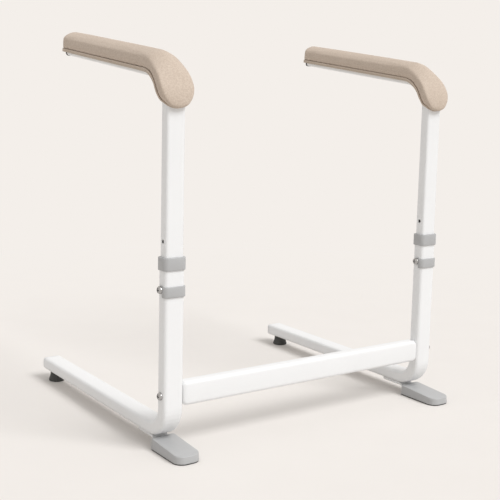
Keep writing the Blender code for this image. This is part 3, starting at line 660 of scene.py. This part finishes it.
# %% Rail
RAIL_LOW, RAIL_THIN = -0.0031, 0.0016
RAIL_SHORTER, RAIL_NARROWER = 0.0036, 0.0011
RAIL_SIDE_FROM = ARM_WIDTH / 2 - 3 * RAIL_NARROWER
RAIL_TAPER_FROM, RAIL_TAPER_TO = 0.009, 0.045
MERGE_WITHIN = 1e-6


def rail_low(along):
    """How low the rail reaches: full along the arm, thin where it ends at the tongue."""
    share = eased((along - RAIL_TAPER_FROM) / (RAIL_TAPER_TO - RAIL_TAPER_FROM))
    thin = seam_out(along) - RAIL_THIN
    return thin + (RAIL_LOW - thin) * share


def merged_copy(name, node):
    """A copy of an engineering piece with its loose triangles joined."""
    bm = bmesh.new()
    bm.from_mesh(frame["nodes"][node].data)
    bmesh.ops.remove_doubles(bm, verts=bm.verts, dist=MERGE_WITHIN)
    mesh = bpy.data.meshes.new(name)
    bm.to_mesh(mesh)
    bm.free()
    return link(name, mesh)


left_rail = merged_copy("left_armrest_rail", "left_armrest_shell")
raised = 0
for vert in left_rail.data.vertices:
    across, along, out = unrolled(vert.co)
    along = min(along, STRIP_LENGTH - RAIL_SHORTER)
    if abs(across) > RAIL_SIDE_FROM:
        across -= math.copysign(RAIL_NARROWER, across)
    if out < rail_low(along):
        raised += 1
    vert.co = rolled(across, along, max(out, rail_low(along)))
coat(left_rail, beige_plastic)
print("points raised:", raised)

# %% Copy to the right and mount both
SIDE_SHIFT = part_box("right_armrest_pad")[0].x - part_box("left_armrest_pad")[0].x


def twin(piece):
    """A copy of a left piece for the right side frame."""
    mesh = piece.data.copy()
    mesh.transform(Matrix.Translation((SIDE_SHIFT, 0, 0)))
    return link(piece.name.replace("left", "right"), mesh)


for soft, trim, rail in ((left_cover, left_piping, left_rail),
                         (twin(left_cover), twin(left_piping), twin(left_rail))):
    side = soft.name.split("_")[0]
    for piece, slot in ((soft, "beige_cover"), (trim, "beige_cover"), (rail, "beige_plastic")):
        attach(piece, f"{side}_upright")
    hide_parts(f"{side}_armrest_pad")
    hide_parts(f"{side}_armrest_shell")
print("side shift (mm):", round(SIDE_SHIFT * 1000, 1))

# %% [markdown]
# ## Front feet
#
# The front foot is a moulded wedge. It starts close under the tube's bend and gets lower
# towards its round front. One ring lies at the bottom, and the others carry the outline
# over a soft top edge. Their height depends on the place, which makes the wedge. Under it
# lies a thin sole of black rubber, a little smaller all round.

# %% Draw the feet
FOOT_HALF = 0.0252
FOOT_FROM, FOOT_TO = -0.2955, -0.1955
FOOT_FRONT_ROUND, FOOT_REAR_ROUND = 0.0180, 0.0075
FOOT_FRONT_TALL, FOOT_REAR_TALL, FOOT_RISE_TO = 0.0150, 0.0214, -0.2000
FOOT_UNDER, SOLE_TALL, SOLE_INSET = 0.0022, 0.0026, 0.0008
FOOT_EDGE, FOOT_DRAFT = 0.0018, 0.0010
CORNER_POINTS, EDGE_STEPS = 8, 4
SHARP_FROM = math.radians(50)
POST_MIDDLE = bend_centre.x


def foot_top(y):
    """How high the foot is at a place along it."""
    share = min((y - FOOT_FROM) / (FOOT_RISE_TO - FOOT_FROM), 1)
    return FOOT_FRONT_TALL + (FOOT_REAR_TALL - FOOT_FRONT_TALL) * share


def foot_outline(inset):
    """The foot from above, drawn a little in."""
    spots = []
    corners = ((1, FOOT_TO, FOOT_REAR_ROUND, 0), (-1, FOOT_TO, FOOT_REAR_ROUND, 90),
               (-1, FOOT_FROM, FOOT_FRONT_ROUND, 180), (1, FOOT_FROM, FOOT_FRONT_ROUND, 270))
    for side, end, radius, turn in corners:
        toward = 1 if end == FOOT_TO else -1
        centre_x = POST_MIDDLE + side * (FOOT_HALF - radius)
        centre_y = end - toward * radius
        for point in range(CORNER_POINTS + 1):
            angle = math.radians(turn + 90 * point / CORNER_POINTS)
            spots.append((centre_x + (radius - inset) * math.cos(angle),
                          centre_y + (radius - inset) * math.sin(angle)))
    return spots


def foot_rings():
    """Rings up the foot's side and over its top edge."""
    rings = [[(x, y, FOOT_UNDER) for x, y in foot_outline(0)]]
    for step in range(EDGE_STEPS + 1):
        angle = math.pi / 2 * step / EDGE_STEPS
        inset = FOOT_DRAFT + FOOT_EDGE * (1 - math.cos(angle))
        drop = FOOT_EDGE * (1 - math.sin(angle))
        rings.append([(x, y, foot_top(y) - drop) for x, y in foot_outline(inset)])
    return rings


left_foot = wear(loft("left_foot_wedge", foot_rings()), grey_plastic)
left_sole = wear(loft("left_foot_pad", [[(x, y, height) for x, y in foot_outline(SOLE_INSET)]
                                        for height in (0, SOLE_TALL)]), black_rubber)
for piece in (left_foot, left_sole):
    piece.data.set_sharp_from_angle(angle=SHARP_FROM)
print("foot faces:", len(left_foot.data.polygons))

# %% [markdown]
# ## Collars and clips
#
# Each post has two grey bands: the collar that guides the upper tube, and below it an open
# clip. Both follow the rounded outline of the tube. A band is made by carrying a small
# section along that outline. The collar's outline is closed, the clip's is open. Above the
# mouth of the lower tube the collar has a lip, which reaches in to the thinner upper one.

# %% Draw the bands
POST_WIDTH, POST_DEEP, POST_ROUND = 0.040, 0.025, 0.0065
POST_MIDDLE_Y = -0.22365
POST_CENTRE = Vector((POST_MIDDLE, POST_MIDDLE_Y, 0))
BAND_WALL, BAND_EDGE, BAND_GAP = 0.0027, 0.0011, 0.00015
BAND_EDGE_TURNS = (0, 30, 60, 90)
COLLAR_LOW, COLLAR_HIGH = 0.3283, 0.3512
LIP_FROM, LIP_REACH = 0.3403, -0.0014
CLIP_LOW, CLIP_HIGH = 0.2812, 0.3003
CLIP_BACK_REACH = 0.0090


def post_outline():
    """Spots around the post with the direction outward, from the left side on to the front."""
    path = []
    for side, end, turn in ((-1, -1, 180), (1, -1, 270), (1, 1, 0), (-1, 1, 90)):
        centre_x = side * (POST_WIDTH / 2 - POST_ROUND)
        centre_y = end * (POST_DEEP / 2 - POST_ROUND)
        for point in range(CORNER_POINTS + 1):
            angle = math.radians(turn + 90 * point / CORNER_POINTS)
            away = Vector((math.cos(angle), math.sin(angle), 0))
            path.append((POST_CENTRE + Vector((centre_x, centre_y, 0)) + away * POST_ROUND,
                         away))
    return path


def rounded_wall(inner, low, high):
    """The section of a band: inner face, then over both rounded outer edges."""
    section = [(inner, low)]
    for angle in BAND_EDGE_TURNS:
        turn = math.radians(angle)
        section.append((BAND_WALL - BAND_EDGE * (1 - math.sin(turn)),
                        low + BAND_EDGE * (1 - math.cos(turn))))
    for angle in reversed(BAND_EDGE_TURNS):
        turn = math.radians(angle)
        section.append((BAND_WALL - BAND_EDGE * (1 - math.sin(turn)),
                        high - BAND_EDGE * (1 - math.cos(turn))))
    return section


def carried(name, path, section, endless):
    """Carry a section along a path around the post."""
    rings = [[spot + away * reach + Vector((0, 0, height)) for reach, height in section]
             for spot, away in path]
    piece = wear(loft(name, rings, endless), grey_plastic)
    piece.data.set_sharp_from_angle(angle=SHARP_FROM)
    return piece


collar_section = rounded_wall(BAND_GAP, COLLAR_LOW, COLLAR_HIGH)
collar_section += [(LIP_REACH, COLLAR_HIGH), (LIP_REACH, LIP_FROM), (BAND_GAP, LIP_FROM)]
left_collar = carried("left_guide_collar", post_outline(), collar_section, True)

outline = post_outline()
back_end = (POST_CENTRE + Vector((POST_WIDTH / 2 - CLIP_BACK_REACH, POST_DEEP / 2, 0)),
            Vector((0, 1, 0)))
around_front = outline[:3 * (CORNER_POINTS + 1)]
clip_section = rounded_wall(BAND_GAP, CLIP_LOW, CLIP_HIGH) + [(BAND_GAP, CLIP_HIGH)]
left_clip = carried("left_guide_clip", around_front + [back_end], clip_section, False)
print("collar faces:", len(left_collar.data.polygons), "clip:", len(left_clip.data.polygons))

# %% [markdown]
# ## The crossbar
#
# The bar is the same kind of tube, but its ends are softly rounded where they meet the
# posts, so that a thin dark gap shows around them. Its section is a rounded rectangle. Near
# an end the section shrinks along a quarter circle.

# %% Draw the crossbar
BAR_FROM_POST_MIDDLE = 0.0204
BAR_ROUND, BAR_END_TALL, BAR_END_DEEP = 0.0065, 0.0085, 0.0030
BAR_END_STEPS, ROUND_LOSS = 8, 0.5
bar_low, bar_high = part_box("crossbar")
bar_low.x = POST_MIDDLE + BAR_FROM_POST_MIDDLE
bar_high.x = -POST_MIDDLE - BAR_FROM_POST_MIDDLE


def rounded_box(half_wide, half_tall, radius):
    """A rounded rectangle round the origin, as pairs."""
    spots = []
    for side, end, turn in ((1, 1, 0), (-1, 1, 90), (-1, -1, 180), (1, -1, 270)):
        for point in range(CORNER_POINTS + 1):
            angle = math.radians(turn + 90 * point / CORNER_POINTS)
            spots.append((side * (half_wide - radius) + radius * math.cos(angle),
                          end * (half_tall - radius) + radius * math.sin(angle)))
    return spots


def bar_ring(x, from_end):
    """The bar's section at x, smaller close to an end."""
    share = 1 - math.sqrt(max(1 - max(1 - from_end / BAR_END_TALL, 0) ** 2, 0))
    size, middle = (bar_high - bar_low) / 2, (bar_high + bar_low) / 2
    section = rounded_box(size.y - BAR_END_DEEP * share, size.z - BAR_END_TALL * share,
                          BAR_ROUND - ROUND_LOSS * BAR_END_DEEP * share)
    return [(x, middle.y + wide, middle.z + tall) for wide, tall in section]


near_end = [BAR_END_TALL * (1 - math.cos(math.pi / 2 * step / BAR_END_STEPS))
            for step in range(BAR_END_STEPS + 1)]
bar_rings = [bar_ring(bar_low.x + depth, depth) for depth in near_end]
bar_rings += [bar_ring(bar_high.x - depth, depth) for depth in reversed(near_end)]
crossbar = wear(loft("cross_tube", bar_rings), powder_coat)
print("crossbar faces:", len(crossbar.data.polygons))

# %% [markdown]
# ## Small caps
#
# Two small things show only at an edge. The plug in the rear end of each arm is a little
# larger than the tube, so its dark rim shows below the rail. Its profile pairs how far
# back each ring lies with how much smaller it is. The nut on the right end of the crossbar
# is a tall dome beside the post, made from a stretched ball.

# %% Draw the plugs and the dome
PLUG_HALF_WIDE, PLUG_HALF_TALL, PLUG_CORNER = 0.0191, 0.0116, 0.0058
PLUG_PROFILE = ((-0.0008, 0.0012), (-0.0008, 0), (0.0022, 0), (0.0032, 0.0008),
                (0.0036, 0.0024))
TUBE_END = STRIP_LENGTH - REAR_OVERHANG
plug_rings = []
for depth, smaller in PLUG_PROFILE:
    section = rounded_box(PLUG_HALF_WIDE - smaller, PLUG_HALF_TALL - smaller,
                          PLUG_CORNER - smaller)
    plug_rings.append([rolled(wide, TUBE_END + depth, tall) for wide, tall in section])
left_plug = wear(loft("left_arm_cap", plug_rings), dark_plastic)

DOME_WIDE, DOME_TALL = 0.0073, 0.0082
screw_low, screw_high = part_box("right_crossbar_screw")
bm = bmesh.new()
bmesh.ops.create_uvsphere(bm, u_segments=32, v_segments=16, radius=DOME_WIDE)
bmesh.ops.scale(bm, vec=(DOME_TALL / DOME_WIDE, 1, 1), verts=bm.verts)
bmesh.ops.translate(bm, vec=(POST_WIDTH / 2 - POST_MIDDLE, (screw_low.y + screw_high.y) / 2,
                             (screw_low.z + screw_high.z) / 2), verts=bm.verts)
dome_mesh = bpy.data.meshes.new("right_dome_nut")
bm.to_mesh(dome_mesh)
bm.free()
dome = wear(link("right_dome_nut", dome_mesh), plated_steel)
print("plug faces:", len(left_plug.data.polygons), "dome faces:", len(dome_mesh.polygons))

# %% Mount the feet, bands, bar and caps
for copies in ((left_foot, left_sole, left_collar, left_clip),
               (twin(left_foot), twin(left_sole), twin(left_collar), twin(left_clip))):
    side = copies[0].name.split("_")[0]
    nodes = (f"{side}_front_foot", f"{side}_front_foot_sole", f"{side}_height_collar",
             f"{side}_height_clip")
    for piece, node in zip(copies, nodes):
        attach(piece, "base_frame")
        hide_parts(node)
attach(crossbar, "base_frame")
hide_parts("crossbar", "left_crossbar_insert", "right_crossbar_insert")
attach(dome, "base_frame")
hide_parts("right_crossbar_screw")
for plug in (left_plug, twin(left_plug)):
    side = plug.name.split("_")[0]
    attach(plug, f"{side}_upright")
    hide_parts(f"{side}_arm_end_plug")
print("crossbar length (mm):", round((bar_high.x - bar_low.x) * 1000, 1))

# %% [markdown]
# ## The floor
#
# The photograph has one warm pale sheet without a corner. Here the floor is a wide disc
# of paper that takes the object's soft shadow. Farther out it fades to the plain pale tone
# that the world shows too, so no horizon is seen. Only rays that show a background get
# that tone. The light on the object stays plain.

# %% Floor
PALE = (0.905, 0.863, 0.823, 1)
FLOOR_RADIUS = 9.0
FADE_FROM, FADE_TO = 0.80, 1.90

bm = bmesh.new()
bmesh.ops.create_circle(bm, cap_ends=True, segments=96, radius=FLOOR_RADIUS)
floor_mesh = bpy.data.meshes.new("floor")
bm.to_mesh(floor_mesh)
bm.free()
floor = link("floor", floor_mesh)

paper = Finish("paper", Roughness=0.95, Specular_IOR_Level=0.0)
mottle = paper.noise(0.12, detail=3.0)
pale_paper = paper.mix(mottle, (0.803, 0.768, 0.735, 1), (0.825, 0.790, 0.757, 1))
paper.connect("Base Color", paper.mix(paper.seen(), (0.66, 0.63, 0.60, 1), pale_paper))
distance = paper.node("ShaderNodeVectorMath", {"operation": "LENGTH"}, [paper.place()],
                      "Value")
far = paper.spread(distance, FADE_FROM, FADE_TO) * paper.seen()
plain = paper.node("ShaderNodeEmission", None, {"Color": PALE, "Strength": 1.0})
lit = Signal(paper, paper.shader.outputs["BSDF"])
sheet = paper.node("ShaderNodeMixShader", None, [far, lit, plain])
paper.plug(paper.tree.nodes["Material Output"].inputs["Surface"], sheet)
floor_mesh.materials.append(paper.material)
print("floor radius (m):", FLOOR_RADIUS)

# %% [markdown]
# ## Light
#
# A pale room gives much of the light, a little more from above than from below. One broad
# soft lamp stands in front, above and a little to the right. It makes the front faces of
# the tubes bright, leaves their left faces in gentle shade, and lays a soft shadow to the
# left and behind. It is a sun lamp with a wide angle, which lights the whole floor alike,
# so the paper keeps one tone.

# %% Lamp and world
KEY_FROM = Vector((0.24, -0.62, 0.75))
KEY_POWER, KEY_SPREAD = 1.9, 30
ROOM_LIGHT, ROOM_COLOUR = 0.60, (1, 0.984, 0.966, 1)
ROOM_LEAN = Vector((0.05, 0.0, 0.15))

key = bpy.data.lights.new("key", "SUN")
key.energy, key.angle = KEY_POWER, math.radians(KEY_SPREAD)
key.color = (0.985, 0.992, 1.0)
key_holder = bpy.data.objects.new("key", key)
bpy.context.scene.collection.objects.link(key_holder)
key_holder.matrix_world = (-KEY_FROM).to_track_quat("-Z", "Y").to_matrix().to_4x4()

world = bpy.data.worlds.new("room")
world.use_nodes = True
room = Network(world.node_tree)
direction = room.node("ShaderNodeTexCoord", output="Generated")
lean = room.node("ShaderNodeVectorMath", {"operation": "DOT_PRODUCT"},
                 [direction, ROOM_LEAN], "Value")
light = room.node("ShaderNodeBackground", None,
                  {"Color": ROOM_COLOUR, "Strength": lean * ROOM_LIGHT + ROOM_LIGHT})
shown = room.node("ShaderNodeBackground", None, {"Color": PALE, "Strength": 1.0})
both = room.node("ShaderNodeMixShader", None, [room.seen(), light, shown])
room.plug(room.tree.nodes["World Output"].inputs["Surface"], both)
bpy.context.scene.world = world
bpy.context.scene.view_settings.view_transform = "Standard"
print("lamps:", len(bpy.data.lights))
